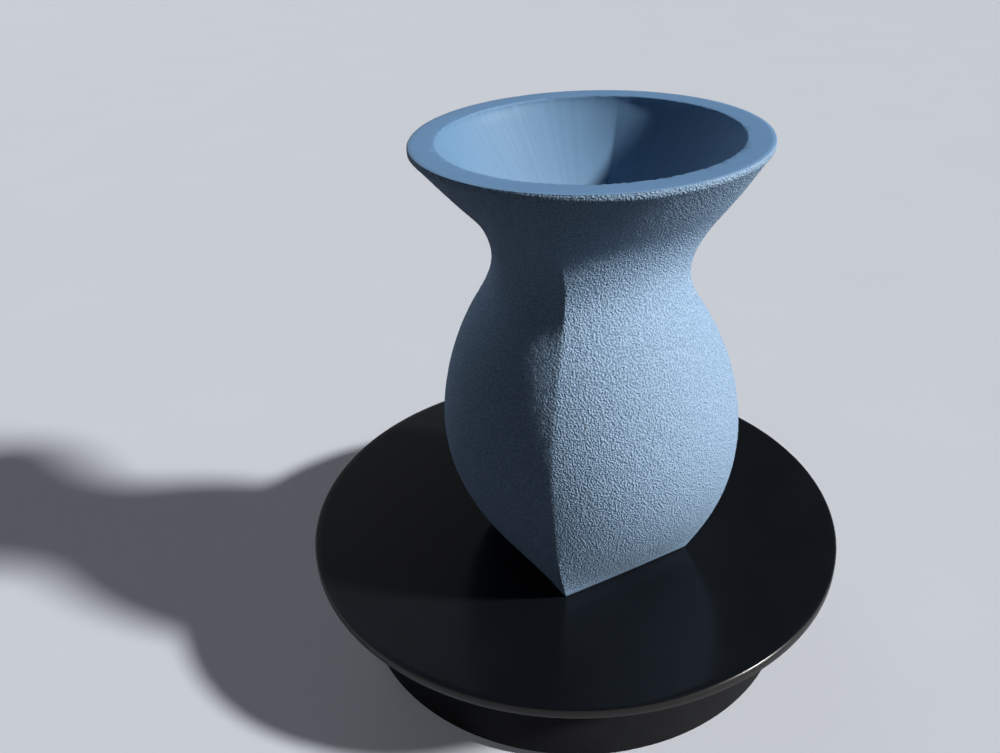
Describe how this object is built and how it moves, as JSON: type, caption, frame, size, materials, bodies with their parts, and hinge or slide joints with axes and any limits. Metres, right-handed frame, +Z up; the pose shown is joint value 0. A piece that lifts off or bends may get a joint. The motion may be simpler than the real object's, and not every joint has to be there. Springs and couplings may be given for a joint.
{
  "type": "vase on a display turntable",
  "caption": "Blue square-to-round vase with a flared mouth, standing on a round black glass plate that turns on a low round base.",
  "frame": {"origin": "centre of the turntable's plate at the level of the feet's undersides", "axes": "+Z up, along the plate's turning axis; the front is -Y"},
  "size_m": [0.26, 0.26, 0.2561],
  "materials": {
    "blue_print": "dusty blue filament, grainy outside, smooth on the lip",
    "black_glass": "opaque black glass, polished, with polished edge",
    "clear_silicone": "translucent grey silicone",
    "black_aluminium": "black anodised, satin",
    "steel": "turned steel",
    "zinc_steel": "zinc-plated steel",
    "race_steel": "ground steel",
    "cage_brass": "stamped brass",
    "ball_chrome": "polished",
    "black_plastic": "moulded, fine matte texture",
    "bush_bronze": "sintered, oiled",
    "ballast_iron": "as cast, lightly machined",
    "cover_plastic": "moulded, matte",
    "foot_rubber": "moulded rubber"
  },
  "bodies": {
    "base": {"base_housing": "black_plastic", "lower_race": "race_steel", "lower_race_screws": "zinc_steel", "spindle_bush": "bush_bronze", "ballast_ring": "ballast_iron", "ballast_screws": "zinc_steel", "bottom_cover": "cover_plastic", "cover_screws": "zinc_steel", "feet": "foot_rubber"},
    "cage": {"ball_cage": "cage_brass", "bearing_balls": "ball_chrome"},
    "platter": {"glass_plate": "black_glass", "plate_pads": "clear_silicone", "plate_carrier": "black_aluminium", "spindle": "steel", "spindle_screws": "zinc_steel", "spindle_washer": "zinc_steel", "spindle_nut": "zinc_steel", "upper_race": "race_steel", "upper_race_screws": "zinc_steel"},
    "vase": {"vase": "blue_print"}
  },
  "joints": [
    {"name": "platter_spin", "type": "hinge", "parent": "base", "child": "platter", "pos_m": [0, 0, 0.0361], "axis": [0, 0, 1], "continuous": true},
    {"name": "cage_spin", "type": "hinge", "parent": "base", "child": "cage", "pos_m": [0, 0, 0.0361], "axis": [0, 0, 1], "continuous": true},
    {"name": "vase_lift", "type": "slide", "parent": "platter", "child": "vase", "axis": [0, 0, 1], "range_m": [0, 0.15]}
  ],
  "couplings": [
    {"joint": "cage_spin", "follows": "platter_spin", "ratio": 0.5}
  ]
}
